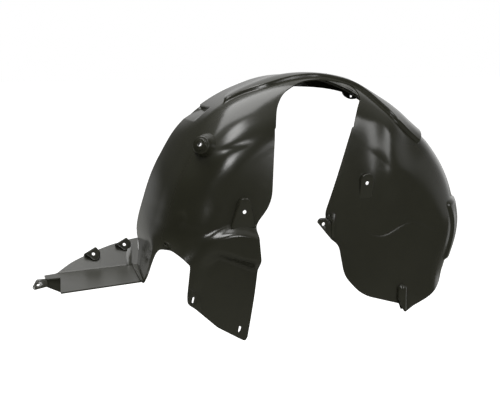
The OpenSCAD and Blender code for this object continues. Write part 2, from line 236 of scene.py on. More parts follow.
def skinPoint(a, kind, k, depth):  # kind 0 lip, 1 roof, 2 shoulder, 3 wall; k runs along each
    lipY, wallY, power, lipRound = arch["lipY"], arch["wallY"], arch["softPower"], arch["lipRound"]
    kinds = [kind == 0, kind == 1, kind == 2]
    startY = shoulderStart(a)
    reach = wallY + startY
    r = roofRadius(a, np.select(kinds[:2], [lipY, mix(lipY, startY, k)], startY))
    bend = shoulderRadius(a)
    k = np.where(kind == 2, slide(a, k), k)
    q = np.where(kind == 2, k, 0)
    s, c = clamp(sind(q)), clamp(cosd(q))
    bulge = arch["wallBulge"] * sind(180 * np.where(kind == 3, k, 0))
    baseY = np.select(kinds, [lipY, mix(lipY - lipRound, startY, k), startY - reach * s ** power],
                      -wallY - bulge)
    baseR = np.select(kinds, [r - lipRound - (lipDepth(a) - lipRound) * (1 - k), r,
                              r - bend + bend * c ** power], mix(r - bend, arch["centreRadius"], k))
    corner = arch["lipCorner"]
    ny = np.select(kinds, [1.0, np.where(k == 0, corner, 0), -s ** (2 - power) / reach], -1.0)
    nr = np.select(kinds, [np.where(k == 1, corner, 0), 1.0, c ** (2 - power) / bend], 0.0)
    size = np.hypot(ny, nr)
    ny, nr = ny / size, nr / size
    w = s ** power
    drop = np.select(kinds[1:], [clamp(k) ** 3, (1 - w) ** 2 * (1 + arch["flankSpread"] * w)], 0.0)
    baseR = baseR - arch["flankCurve"] * drop * between(*arch["flankAngles"], a)
    x, z = baseR * cosd(a), baseR * sind(a)
    onWall, onRoof = wallForm(x, z), roofForm(a, baseY, q)
    onShoulder = onRoof + onWall * ease(*roofForms["wallFormsFrom"], k)
    form = np.select(kinds, [0 * x, onRoof, onShoulder], onWall)
    y, radius = baseY + ny * (form - depth), baseR + nr * (form - depth)
    return np.stack([radius * cosd(a), y, radius * sind(a)], -1)


# outlines: each point is x, y and the length taken off at its softened corner
def softOutline(points):
    out = []
    for i, (x, y, cut) in enumerate(points):
        before, corner, after = (np.array(p[:2], float)
                                 for p in (points[i - 1], (x, y), points[(i + 1) % len(points)]))
        if not cut:
            out.append(corner)
            continue
        lengths = np.linalg.norm(before - corner), np.linalg.norm(after - corner)
        t = min(cut, 0.46 * lengths[0], 0.46 * lengths[1])  # two corners never meet
        p = corner + (before - corner) / lengths[0] * t
        q = corner + (after - corner) / lengths[1] * t
        for k in np.linspace(0, 1, 7):
            out.append((1 - k) ** 2 * p + 2 * k * (1 - k) * corner + k * k * q)
    return np.array(out)


def outlineDistance(u, v, poly):  # negative inside the outline
    best = np.full(u.shape, 1e9)
    inside = np.zeros(u.shape, bool)
    for (x0, y0), (x1, y1) in zip(poly, np.roll(poly, -1, axis=0)):
        dx, dy = x1 - x0, y1 - y0
        length = dx * dx + dy * dy
        if length < 1e-9:
            continue
        t = clamp(((u - x0) * dx + (v - y0) * dy) / length)
        best = np.minimum(best, np.hypot(u - x0 - t * dx, v - y0 - t * dy))
        if y0 != y1:
            inside ^= ((y0 <= v) != (y1 <= v)) & (u < x0 + (v - y0) * dx / dy)
    return np.where(inside, -best, best)


def insetOutline(poly, inset):  # each point moves inwards along the mean of its edges' normals
    before, after = np.roll(poly, 1, axis=0), np.roll(poly, -1, axis=0)

    def normal(d):
        n = np.stack([-d[:, 1], d[:, 0]], 1)
        return n / np.maximum(np.linalg.norm(n, axis=1, keepdims=True), 1e-9)
    n = normal(poly - before) + normal(after - poly)
    n = n / np.maximum((n * n).sum(1, keepdims=True), 0.2) * 2
    area = 0.5 * np.sum(poly[:, 0] * after[:, 1] - after[:, 0] * poly[:, 1])
    return poly + n * inset * (1 if area > 0 else -1)


def densify(poly, step):
    out = []
    for p, q in zip(poly, np.roll(poly, -1, axis=0)):
        n = max(1, int(np.linalg.norm(q - p) / step))
        out += [p + (q - p) * i / n for i in range(n)]
    return np.array(out)


# where the moulding is cut away; side outlines are in x, z and the plan outline is in x, y
trim = {
    "windowSide": [(-101, 244, 0), (-106, 165, 40), (-110, 90, 26), (-146, 44, 16), (-143, 8, 18),
                   (-139, -34, 20), (-147, -100, 30), (-158, -164, 40), (-165, -202.2, 19),
                   (-184, -191.5, 6), (-228, -166, 0), (-228, -600, 0), (197, -600, 0),
                   (199, -167, 0), (184, -146, 3), (94, -120, 26), (54, -76, 18), (41, -8, 14),
                   (20, 8, 8), (8, 62, 12), (70, 244, 0)],
    "windowPlan": [(-101, -175, 0), (-101, -135, 4), (-92, -114, 10), (-72, -94, 12),
                   (-14, -67, 16), (30, -58, 14), (97, -56, 17), (103, -98, 14), (80, -127, 10),
                   (67, -138, 3), (66, -175, 0)],
    "rearUnder": [(-100, -600, 0), (-100, -260, 0), (140, -190, 0), (199, -167, 3), (218, -154, 4),
                  (251, -139, 6), (276, -123, 8), (293, -105, 8), (300, -80, 0), (420, -62, 0),
                  (640, -62, 0), (640, -600, 0)],
    "frontUnder": [(-184, -191.5, 0), (-228, -166, 6), (-274, -124, 4), (-290, -113, 8),
                   (-291, -98, 6), (-284, -40, 0), (-284, -33, 8), (-300, -17, 8), (-318, -3, 7),
                   (-338, -3, 7), (-347, -13, 5), (-362, -36, 6), (-378, -66, 0), (-384, -66, 0),
                   (-384, -600, 0), (-184, -600, 0)],
    "foot": [(-292, -60, 0), (-460, -69, 0), (-460, -600, 0), (-292, -600, 0)],
    # how far the side and plan outlines cut into the part
    "windowSideY": -40, "windowPlanZ": 242, "frontUnderY": -84,
    "behindTrayX": (-430, -292), "behindTrayZ": -62, "behindTrayGap": 2,
    "slots": [(-279, -105), (-180, -173)], "slotTurn": 12, "slotLength": 15, "slotWidth": 5,
}

tray = {
    "place": (-375, 0, -61), "tilt": -3.15, "y": 40, "lean": 51, "fold": 7,
    # the floor and the back wall laid flat: x along the tray, v from the fold
    "outline": [(-3.8, -156, 0), (-171, -171, 2), (-157, -44, 3), (-187, -42, 2), (-187, -4, 3),
                (-161, 0, 3), (-127, 25, 14), (-99, 38, 14), (-62, 53, 14), (-32, 63, 14),
                (8, 72, 8), (30, 75, 0), (18, 0, 0)],
    "padShape": [(-12, 17, 2), (15, 30, 3), (24, 17, 5), (20, 3, 8), (9, -3, 6)],
    "padPlaces": [(-84, 14.5, 59), (-13, 25, 73)], "padLean": 24, "padHole": (8, 14),
    "padHoleRadius": 3.5, "padHeight": 4, "padBase": -13, "padEdge": 2.4, "padFlare": 0.6,
    "padOverlap": 2.6, "tabLean": 50, "tabStretch": 1.1, "tabFoot": (2.4, -1), "uprightY": 1.4,
}

pads = {
    "arch": {"centre": (100, 130), "width": 29, "foot": 86, "hole": (100, 124),
             "face": [(-149, 140), (-139, 88)], "base": 132},
    "front": {"outline": [(-182, 96, 6), (-176, 104, 4), (-164, 104, 4), (-158, 96, 6),
                          (-147, 40, 0), (-200, 40, 0)],
              "hole": (-171, 75), "face": [(-149, 100), (-144, 54)], "base": 128, "openFrom": 56},
    "holeRadius": 4, "edge": 2.2, "wall": 2.6, "flare": 1.8,
    "overlap": 3.4, "openBeyondY": -100,  # the skin is open behind both pads
}

boss = {
    "place": (-246, -99, 209), "turn": (75, 230), "cut": 18.5, "cutReach": 40, "sides": 72,
    # radius and height of the collar's rings, from inside the wall up to the face round the hole
    "rings": [(31, -22), (23, -5), (19, 2), (18.6, 9.4), (18.0, 10.6), (16.8, 11.2), (13.4, 11.2),
              (12.6, 11.6), (12.2, 12.4), (12.0, 15.0), (11.6, 15.7), (10.8, 16), (7.2, 16),
              (6.7, 16.6), (5.2, 16.6), (4, 16)],
    # and of its hollow back, from the hole down into the wall
    "back": [(4, 13.2), (9, 13.2), (9, 9), (15.4, 8.2), (15.8, 6), (21, -7), (30, -22)],
}


def padOutline(name, inset):
    pad = pads[name]
    if name == "arch":
        (x, z), r = pad["centre"], pad["width"] / 2 - inset
        ring = [(x + r * math.cos(t), z + r * math.sin(t)) for t in np.linspace(0, math.pi, 25)]
        return np.array(ring + [(x - r, pad["foot"] + inset), (x + r, pad["foot"] + inset)])
    outline = softOutline(pad["outline"])
    return insetOutline(outline, inset) if inset else outline


def bossMatrix():
    lean, turn = (math.radians(a) for a in boss["turn"])
    matrix = Matrix.Rotation(turn, 3, "Z") @ Matrix.Rotation(lean, 3, "Y")
    return np.array(matrix), np.array(boss["place"], float)


def slotDistance(x, z, centre):
    t = math.radians(trim["slotTurn"])
    u, v = x - centre[0], z - centre[1]
    along = u * math.sin(t) + v * math.cos(t)
    across = u * math.cos(t) - v * math.sin(t)
    half = (trim["slotLength"] - trim["slotWidth"]) / 2
    return np.hypot(across, along - np.clip(along, -half, half)) - trim["slotWidth"] / 2


def keepField(p):  # positive where the moulding is, negative in its openings
    x, y, z = p[..., 0], p[..., 1], p[..., 2]
    nowhere = 99
    cuts = [
        np.maximum(outlineDistance(x, z, softOutline(trim["windowSide"])), y - trim["windowSideY"]),
        np.maximum(outlineDistance(x, y, softOutline(trim["windowPlan"])), trim["windowPlanZ"] - z),
        outlineDistance(x, z, softOutline(trim["rearUnder"])),
        np.maximum(outlineDistance(x, z, softOutline(trim["frontUnder"])), y - trim["frontUnderY"]),
        outlineDistance(x, z, softOutline(trim["foot"])),
    ]
    lean = math.radians(tray["lean"])
    overTray = (y - tray["y"]) * math.cos(lean) - (z - trim["behindTrayZ"]) * math.sin(lean)
    behind = -(overTray + trim["behindTrayGap"])
    first, last = trim["behindTrayX"]
    cuts.append(np.maximum.reduce([behind, x - last, first - x]))
    cuts += [slotDistance(x, z, centre) for centre in trim["slots"]]
    behindPads = np.minimum(
        outlineDistance(x, z, padOutline("arch", pads["overlap"])),
        np.maximum(outlineDistance(x, z, padOutline("front", pads["overlap"])),
                   pads["front"]["openFrom"] - z))
    cuts.append(np.where(y < pads["openBeyondY"], behindPads, nowhere))
    turn, place = bossMatrix()
    local = (p - place) @ turn
    aroundBoss = np.hypot(local[..., 0], local[..., 1]) - boss["cut"]
    cuts.append(np.where(np.abs(local[..., 2]) < boss["cutReach"], aroundBoss, nowhere))
    return np.minimum.reduce(cuts)


# materials
def hexColour(code):
    parts = [int(code[i:i + 2], 16) / 255 for i in (1, 3, 5)]
    return tuple(c / 12.92 if c <= 0.04045 else ((c + 0.055) / 1.055) ** 2.4
                 for c in parts) + (1.0,)


def addNode(tree, kind, settings=None, links=None):
    node = tree.nodes.new(kind)
    for key, value in (settings or {}).items():
        if hasattr(node, key):
            setattr(node, key, value)
        else:
            node.inputs[key].default_value = value
    for key, socket in (links or {}).items():
        tree.links.new(socket, node.inputs[key])
    return node


plastic = {
    "colour": "#2a2a22", "pale": "#313128", "roughness": 0.185, "roughSpread": 0.05,
    "trayRoughness": 0.34, "grainMm": 1.1, "grainHeight": 0.00004, "grainStrength": 0.35,
    "cloudMm": 90, "ior": 1.49,
}


# black polypropylene, injected into a fine grained steel mould and left as it came out: the eye
# sees a smooth dark skin with soft wide highlights and faint cloudy marks where the melt flowed
def makeMouldedPolypropylene(name, roughness):
    material = bpy.data.materials.new(name)
    material.use_nodes = True
    tree = material.node_tree
    tree.nodes.clear()
    out = addNode(tree, "ShaderNodeOutputMaterial")
    place = addNode(tree, "ShaderNodeTexCoord").outputs["Object"]
    cloud = addNode(tree, "ShaderNodeTexNoise",
                    {"Scale": 1000 / plastic["cloudMm"], "Detail": 3.0, "Roughness": 0.55},
                    {"Vector": place}).outputs["Fac"]
    tone = addNode(tree, "ShaderNodeMix", {"data_type": "RGBA"}, {0: cloud})
    tone.inputs[6].default_value = hexColour(plastic["colour"])
    tone.inputs[7].default_value = hexColour(plastic["pale"])
    half = plastic["roughSpread"] / 2
    rough = addNode(tree, "ShaderNodeMapRange",
                    {"From Min": 0.3, "From Max": 0.7, "To Min": roughness - half,
                     "To Max": roughness + half}, {"Value": cloud})
    grain = addNode(tree, "ShaderNodeTexNoise", {"Scale": 1000 / plastic["grainMm"], "Detail": 2.0},
                    {"Vector": place})
    bump = addNode(tree, "ShaderNodeBump",
                   {"Strength": plastic["grainStrength"], "Distance": plastic["grainHeight"]},
                   {"Height": grain.outputs["Fac"]})
    shader = addNode(tree, "ShaderNodeBsdfPrincipled", {"IOR": plastic["ior"]},
                     {"Base Color": tone.outputs[2], "Roughness": rough.outputs[0],
                      "Normal": bump.outputs[0]})
    tree.links.new(shader.outputs[0], out.inputs[0])
    return material


shellPlastic = makeMouldedPolypropylene("mouldedPolypropylene", plastic["roughness"])
# the tray's part of the mould is duller, so its floor and back wall look satin
trayPlastic = makeMouldedPolypropylene("satinPolypropylene", plastic["trayRoughness"])
print("materials made")

creaseAngle = math.radians(38)  # edges sharper than this stay sharp


def addMesh(name, points, faces, material=shellPlastic):
    mesh = bpy.data.meshes.new(name)
    mesh.from_pydata([tuple(float(c) * mm for c in p) for p in points], [],
                     [tuple(int(i) for i in f) for f in faces])
    mesh.validate()
    mesh.materials.append(material)
    mesh.polygons.foreach_set("use_smooth", [True] * len(mesh.polygons))
    mesh.set_sharp_from_angle(angle=creaseAngle)
    mesh.update()
    piece = bpy.data.objects.new(name, mesh)
    bpy.context.scene.collection.objects.link(piece)
    return piece


def turnOutward(piece):
    b = bmesh.new()
    b.from_mesh(piece.data)
    bmesh.ops.remove_doubles(b, verts=b.verts, dist=1e-6)
    bmesh.ops.recalc_face_normals(b, faces=b.faces)
    b.to_mesh(piece.data)
    b.free()
    piece.data.set_sharp_from_angle(angle=creaseAngle)


def applyModifiers(piece):
    graph = bpy.context.evaluated_depsgraph_get()
    mesh = bpy.data.meshes.new_from_object(piece.evaluated_get(graph))
    piece.modifiers.clear()
    piece.data = mesh


def ringFaces(rings, close=False):  # quads between rings of equal length
    n = len(rings[0])
    faces = []
    for r in range(len(rings) if close else len(rings) - 1):
        s = (r + 1) % len(rings)
        for i in range(n):
            j = (i + 1) % n
            faces.append((r * n + i, r * n + j, s * n + j, s * n + i))
    return np.concatenate(rings), faces


# keeps the part of a grid where the field is positive, with a clean edge where it is nought, and
# returns points and faces of a closed thin shell; points nearer to the edge than the snap share of
# a grid line move onto it, so no slivers are left
def clipGrid(outer, inner, field, snap):
    nu, nv = field.shape
    outer, inner = outer.reshape(-1, 3).copy(), inner.reshape(-1, 3).copy()
    field = field.reshape(-1).copy()
    original = field.copy()
    snap = np.broadcast_to(snap, (nu, nv)).reshape(-1)
    i, j = np.meshgrid(np.arange(nu - 1), np.arange(nv - 1), indexing="ij")
    a, b = (i * nv + j).ravel(), ((i + 1) * nv + j).ravel()
    c, d = b + 1, a + 1
    direct = (np.linalg.norm(outer[a] - outer[c], axis=1)
              <= np.linalg.norm(outer[b] - outer[d], axis=1))[:, None]
    tris = np.concatenate([np.where(direct, np.stack([a, d, c], 1), np.stack([a, d, b], 1)),
                           np.where(direct, np.stack([a, c, b], 1), np.stack([b, d, c], 1))])
    tris = tris[(field[tris] > 0).any(1)]
    edges = np.concatenate([tris[:, [0, 1]], tris[:, [1, 2]], tris[:, [2, 0]]])
    edges = np.unique(np.sort(edges, axis=1), axis=0)
    moved = {}
    for p, q in edges[(field[edges[:, 0]] > 0) != (field[edges[:, 1]] > 0)]:
        for s, e in ((p, q), (q, p)):
            t = abs(original[s]) / (abs(original[s]) + abs(original[e]) + 1e-12)
            reach = t * np.linalg.norm(outer[s] - outer[e])
            if t < snap[s] and (s not in moved or reach < moved[s][0]):
                moved[s] = (reach, mix(outer[s], outer[e], t), mix(inner[s], inner[e], t))
    for s, (reach, outerPoint, innerPoint) in moved.items():
        outer[s], inner[s], field[s] = outerPoint, innerPoint, 0
    f = field[tris]
    whole = (f >= 0).all(1) & ((f > 0).any(1) | (original[tris].mean(1) > 0))
    kept = [tuple(t) for t in tris[whole]]
    extraOuter, extraInner, made = [], [], {}

    def crossing(p, q):
        key = (min(p, q), max(p, q))
        if key not in made:
            t = field[p] / (field[p] - field[q])
            made[key] = len(outer) + len(extraOuter)
            extraOuter.append(mix(outer[p], outer[q], t))
            extraInner.append(mix(inner[p], inner[q], t))
        return made[key]
    for tri in tris[~whole & (f > 0).any(1)]:
        corners = []
        for n in range(3):
            p, q = tri[n], tri[(n + 1) % 3]
            if field[p] >= 0:
                corners.append(p)
            if field[p] * field[q] < 0:
                corners.append(crossing(p, q) if field[p] > 0 else crossing(q, p))
        kept += [(corners[0], corners[n], corners[n + 1]) for n in range(1, len(corners) - 1)]
    if extraOuter:
        outer = np.concatenate([outer, extraOuter])
        inner = np.concatenate([inner, extraInner])
    used, index = np.unique(np.array(kept), return_inverse=True)
    kept = index.reshape(-1, 3)
    outer, inner = outer[used], inner[used]
    n = len(outer)
    directed = np.concatenate([kept[:, [0, 1]], kept[:, [1, 2]], kept[:, [2, 0]]])
    keys = {(int(p), int(q)) for p, q in directed}
    front = [(t[2], t[1], t[0]) for t in kept]
    back = [(t[1] + n, t[2] + n, t[0] + n) for t in kept]
    rim = [(q + n, p + n, p, q) for p, q in keys if (q, p) not in keys]
    return np.concatenate([outer, inner]), front + back + rim


snapShare, slotSnapShare, nearSlot = 0.28, 0.04, 6  # less snapping within 6 mm of a slot


def makeShell():
    fine = list(arch["fineColumns"])
    for start, end in arch["slotColumns"]:
        fine += list(np.round(np.arange(start, end, arch["slotColumnStep"]), 2))
    angles = [round(v, 3) for v in np.arange(*arch["angleRange"], arch["columnStep"])
              if min(abs(v - f) for f in fine) > arch["columnGap"]]
    angles = np.array(sorted(set(fine + angles)))
    step = arch["shoulderStep"]
    shoulderRows = sorted(set(np.round(np.arange(step, 90.1, step), 2)) | arch["fineRows"])
    rows = [(0, k) for k in np.linspace(0, 1, arch["lipRows"])]
    rows += [(1, k) for k in np.linspace(0, 1, arch["roofRows"])]
    rows += [(2, q) for q in shoulderRows]
    rows += [(3, k) for k in np.linspace(0, 1, arch["wallRows"])[1:]]
    a, kind = np.meshgrid(angles, [row[0] for row in rows], indexing="ij")
    k = np.broadcast_to(np.array([row[1] for row in rows], float), a.shape)
    outer, inner = skinPoint(a, kind, k, 0), skinPoint(a, kind, k, arch["wall"])
    for centre, radius, rounds in arch["softPlaces"]:
        share = np.linalg.norm(outer - np.array(centre), axis=-1) / radius
        near = (1 - ease(arch["softCore"], 1, share))[1:-1, 1:-1, None]
        for sheet in (outer, inner):
            for _ in range(rounds):
                around = sheet[2:, 1:-1] + sheet[:-2, 1:-1] + sheet[1:-1, 2:] + sheet[1:-1, :-2]
                sheet[1:-1, 1:-1] += near * 0.25 * (around - 4 * sheet[1:-1, 1:-1])
    slots = [slotDistance(outer[..., 0], outer[..., 2], centre) for centre in trim["slots"]]
    snap = np.where(np.minimum.reduce(slots) < nearSlot, slotSnapShare, snapShare)
    points, faces = clipGrid(outer, inner, keepField(outer), snap)
    print("shell:", len(points), "points,", len(faces), "faces")
    return addMesh("archShell", points, faces)


shell = makeShell()


# hollow raised pad with a rounded edge and a hole: its outline in u, v, a function for the height
# of its face, the height of its base, and a function that sets u, v, height in place
def makeCap(name, outline, face, base, hole, radius, place, edge=pads["edge"], flare=pads["flare"]):
    outline = densify(np.array(outline), 2.5)
    ahead = np.roll(outline, -1, axis=0)
    if np.sum(outline[:, 0] * ahead[:, 1] - ahead[:, 0] * outline[:, 1]) < 0:
        outline = outline[::-1]

    def surface(depth):
        def onFace(p, drop):
            return np.column_stack([p, face(p[:, 0], p[:, 1]) - depth - drop])
        start = insetOutline(outline, depth - flare)
        rings = [np.column_stack([start, np.full(len(outline), base)])]
        r = max(edge - depth, 0.4)
        for t in np.radians(np.linspace(0, 90, 6)):
            rings.append(onFace(insetOutline(outline, depth + r * (1 - math.cos(t))),
                                r * (1 - math.sin(t))))
        spoke = rings[-1][:, :2] - np.array(hole)
        reach = np.linalg.norm(spoke, axis=1, keepdims=True)
        for share in (0.6, 0.25, 0.0):
            rings.append(onFace(hole + spoke / reach * (radius + (reach - radius) * share), 0))
        return rings
    points, faces = ringFaces(surface(0) + surface(pads["wall"])[::-1], close=True)
    piece = addMesh(name, place(points[:, 0], points[:, 1], points[:, 2]), faces)
    turnOutward(piece)
    return piece


def onWall(u, v, h):
    return np.column_stack([u, -h, v])


def makePad(name, key):
    (y0, z0), (y1, z1) = pads[key]["face"]
    return makeCap(name, padOutline(key, 0), lambda u, v: -(y0 + (v - z0) * (y1 - y0) / (z1 - z0)),
                   pads[key]["base"], pads[key]["hole"], pads["holeRadius"], onWall)


archPad = makePad("archPad", "arch")
frontPad = makePad("frontPad", "front")


def makeBoss():
    turn, place = bossMatrix()
    t = np.linspace(0, 2 * math.pi, boss["sides"], endpoint=False)
    rings = [np.column_stack([r * np.cos(t), r * np.sin(t), np.full(len(t), z)])
             for r, z in boss["rings"] + boss["back"]]
    points, faces = ringFaces(rings, close=True)
    piece = addMesh("roundBoss", points @ turn.T + place, faces)
    turnOutward(piece)
    return piece


roundBoss = makeBoss()
print("pads made")


def trayPoint(x, y, z):
    t = math.radians(tray["tilt"])
    px, py, pz = tray["place"]
    return np.stack([px + x * math.cos(t) + z * math.sin(t), py + y,
                     pz - x * math.sin(t) + z * math.cos(t)], -1)


def traySheet(u, v, depth):  # the floor, a rounded fold and the leaning back wall as one sheet
    lean, r = math.radians(90 - tray["lean"]), tray["fold"]
    reach = r * math.tan(lean / 2)
    t = clamp((v + reach) / (2 * reach)) * lean
    before, after = np.minimum(v, -reach), np.maximum(v - reach, 0)
    y = tray["y"] + before + (r + depth) * np.sin(t) + after * math.cos(lean)
    z = -depth + (r + depth) * (1 - np.cos(t)) + after * math.sin(lean)
    return trayPoint(u, y, z)


def makeTray():
    # rows lie closer together round the fold
    rows = np.concatenate([np.arange(-180, -6, 4.0), np.arange(-6, 6.1, 0.8),
                           np.arange(8, 90, 3.0)])
    u, v = np.meshgrid(np.arange(-196, 40, 3.0), rows, indexing="ij")
    field = -outlineDistance(u, v, softOutline(tray["outline"]))
    sheet = traySheet(u, v, 0)
    x, y, z = np.moveaxis(sheet - np.array(tray["place"]), -1, 0)
    t, lean = math.radians(tray["tilt"]), math.radians(90 - tray["padLean"])
    level, height = x * math.cos(t) - z * math.sin(t), x * math.sin(t) + z * math.cos(t)
    opening = insetOutline(softOutline(tray["padShape"]), tray["padOverlap"])
    for padX, padZ, padY in tray["padPlaces"]:  # open behind each pad
        up = (y - padY) * math.cos(lean) + (height - padZ) * math.sin(lean)
        field = np.minimum(field, outlineDistance(level - padX, up, opening))
    points, faces = clipGrid(sheet, traySheet(u, v, arch["wall"]), field, snapShare)
    piece = addMesh("trayShell", points, faces, trayPlastic)
    turnOutward(piece)
    return piece


trayShell = makeTray()


def leanFrame(place, angle):  # sets u, v, height of a plane that leans back by an angle in place
    t = math.radians(90 - angle)
    x, z, y = place

    def put(u, v, h):
        return trayPoint(x + u, y + v * math.cos(t) - h * math.sin(t),
                         z + v * math.sin(t) + h * math.cos(t))
    return put


trayPads = [makeCap(f"trayPad{number + 1}", softOutline(tray["padShape"]),
                    lambda u, v: tray["padHeight"] + 0 * u, tray["padBase"], tray["padHole"],
                    tray["padHoleRadius"], leanFrame(place, tray["padLean"]), tray["padEdge"],
                    tray["padFlare"]) for number, place in enumerate(tray["padPlaces"])]


# flat plate from an outline, with softened edges; each hole is its centre, half sizes and turn
def makePlate(name, outline, low, high, place, bevel, holes=()):
    loops = [softOutline(outline)]
    for x, y, rx, ry, turn in holes:
        t, q = np.linspace(0, 2 * math.pi, 24, endpoint=False), math.radians(turn)
        u, v = rx * np.cos(t), ry * np.sin(t)
        loops.append(np.column_stack([x + u * math.cos(q) - v * math.sin(q),
                                      y + u * math.sin(q) + v * math.cos(q)]))
    b = bmesh.new()
    for loop in loops:
        verts = [b.verts.new((p[0], p[1], low)) for p in loop]
        for p, q in zip(verts, verts[1:] + verts[:1]):
            b.edges.new((p, q))
    bmesh.ops.triangle_fill(b, edges=b.edges, use_beauty=True)
    grown = bmesh.ops.extrude_face_region(b, geom=b.faces[:])
    for v in grown["geom"]:
        if isinstance(v, bmesh.types.BMVert):
            v.co.z = high
    b.verts.index_update()
    flat = np.array([v.co[:] for v in b.verts])
    faces = [[v.index for v in f.verts] for f in b.faces]
    b.free()
    piece = addMesh(name, place(flat[:, 0], flat[:, 1], flat[:, 2]), faces)
    turnOutward(piece)
    edge = piece.modifiers.new("edge", "BEVEL")
    edge.width, edge.segments, edge.limit_method = bevel * mm, 2, "ANGLE"
    edge.angle_limit = math.radians(40)
    applyModifiers(piece)
    piece.data.set_sharp_from_angle(angle=creaseAngle)
    return piece


def trayUpright(u, v, h):  # a plane that faces the engine side
    return trayPoint(u, tray["uprightY"] - h, v)


def tipTabPlane(u, v, h):
    t, v = math.radians(tray["tabLean"]), v * tray["tabStretch"]
    y, z = tray["tabFoot"]
    return trayPoint(u, y + v * math.cos(t) - h * math.sin(t),
                     z + v * math.sin(t) + h * math.cos(t))


trayBack = leanFrame((0, 0, tray["y"]), tray["lean"])


def levelPlan(u, v, h):
    return np.column_stack([u, v, h])


def loopPlane(u, v, h):  # on the skin at the lower front edge
    centre, along = np.array([-323, -98, 5.5]), np.array([0.39, -0.85, -0.35])
    across, out = np.array([0.51, -0.12, 0.85]), np.array([-0.79, -0.46, 0.41])
    return centre + np.outer(u, along) + np.outer(v, across) + np.outer(h, out)


# name: outline, low face, high face, plane, softened edge, holes
plates = {
    "tipFlange": ([(-187, 0, 0), (-150, 0, 0), (-150, -33, 0), (-158, -33, 0), (-187, -17, 0)],
                  0, 2.8, trayUpright, 0.7),
    "tipTab": ([(-185, 0, 0), (-206, 1, 3), (-217, -15, 3), (-213, -20, 2), (-185, -16, 0)],
               0, 2.8, tipTabPlane, 0.4, [(-204, -10.5, 3.4, 2.3, 20)]),
    "trayEnd": ([(12, 58, 0), (8, 54, 6), (-5, 32, 14), (-9, -5, 0), (1, -5, 0)],
                0, 4, trayBack, 0.7),
    "trayBead": ([(-9, -115.5, 0), (-5.5, -115.7, 0), (5.2, 38, 0), (1.7, 38.2, 0)],
                 -1, 3.5, trayPoint, 1.2),
    "slotCorner": ([(-287, -78, 3), (-276, -85, 4), (-264, -102, 6), (-261, -132, 0),
                    (-272, -125, 4), (-289, -113, 8), (-290, -98, 0)],
                   134, 139.6, onWall, 2.0, [(-279.5, -105, 8, 3.6, 78)]),
    "edgeTab": ([(12, 53, 0), (-4, 53, 5), (-10, 45, 4), (20, 9, 3), (29, 9, 0), (28, 53, 0)],
                136.5, 141.5, onWall, 0.9, [(4, 40, 4, 4, 0)]),
    "edgeLug": ([(11, 52, 0), (12.5, 63, 0), (22, 51, 0), (22, 44, 0)], 136, 147, onWall, 1.6),
    "edgeFold": ([(22, 9, 0), (27, 9, 0), (29, 62, 0), (20, 62, 0)], 136, 144, onWall, 1.6),
    "lipTab": ([(147.4, 309.1, 0), (144.8, 303.1, 3), (150.2, 294.5, 4), (160.6, 288.5, 5),
                (168.1, 286.7, 4), (175.9, 287.1, 4), (183.5, 288.7, 0), (171.2, 296.6, 0),
                (160.8, 302.4, 0)],
               -115.2, -112, onWall, 0.7, [(167.8, 294.1, 3, 3, 0)]),
    "crownNib": ([(43, -12, 0), (59, -12, 0), (59, 12, 0), (43, 12, 0)], 343, 351, levelPlan, 1.5),
    "slotLoop": ([(-12, 0, 5), (-7, 5.5, 4), (8, 5.5, 4), (13, 0, 5), (8, -5.5, 4), (-7, -5.5, 4)],
                 -2, 4.5, loopPlane, 1.4, [(1, 0, 7.5, 1.9, 0)]),
}
smallPieces = [makePlate(name, *values) for name, values in plates.items()]

footRibShape = {
    "centre": (188.5, -143), "half": (10.5, 8), "top": -102, "dome": 9, "domeFrom": -126.0,
    "sides": 40, "foot": [(172, -131), (181, -138), (189, -160), (205, -157)],
}


def makeFootRib():  # upright rib with a domed top and a foot cut at a slant
    (cx, cy), (rx, ry) = footRibShape["centre"], footRibShape["half"]
    count = footRibShape["sides"]
    t = np.linspace(0, 2 * math.pi, count, endpoint=False)

    def ring(share, z):
        return np.column_stack([cx + rx * share * np.cos(t), cy + ry * share * np.sin(t), z])
    footX, footZ = zip(*footRibShape["foot"])
    foot = np.interp(cx + rx * np.cos(t), footX, footZ)
    rings = [ring(1, foot), ring(1, np.maximum(foot + 2, footRibShape["domeFrom"]))]
    for e in np.radians(range(0, 96, 12)):
        height = footRibShape["top"] - footRibShape["dome"] * (1 - math.sin(e))
        rings.append(ring(math.cos(e), np.full(count, height)))
    points, faces = ringFaces(rings)
    faces.append(tuple(range(count))[::-1])
    faces.append(tuple(range(len(points) - count, len(points))))
    piece = addMesh("footRib", points, faces)
    turnOutward(piece)
    return piece


footRib = makeFootRib()
print("tray and small pieces made")

for piece in [shell, archPad, frontPad, roundBoss, trayShell, footRib] + trayPads + smallPieces:
    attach(piece, "root")
    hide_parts("arch_liner")

# floor, lights, world and camera
studio = {
    "partBottom": -0.197, "floorDrop": 0.5, "floorHalf": 30, "floorColour": "#f4f4f2",
    "floorGlow": 0.8,
    # the part sees a darker floor, which is brighter far behind it
    "floorSeenByPart": "#9a9a90", "farFloor": (0.5, 2.5, 0.0, 0.3),
    "lens": 72.0, "cameraDistance": 2.2, "target": (-0.115, 0, 0.065), "azimuth": -17,
    "elevation": 9, "lightAim": (-0.1, -0.05, 0.15),
}


def directionFrom(azimuth, elevation):  # azimuth from the part's inner side to the car's rear
    a, e = math.radians(azimuth), math.radians(elevation)
    return Vector((math.sin(a) * math.cos(e), -math.cos(a) * math.cos(e), math.sin(e)))


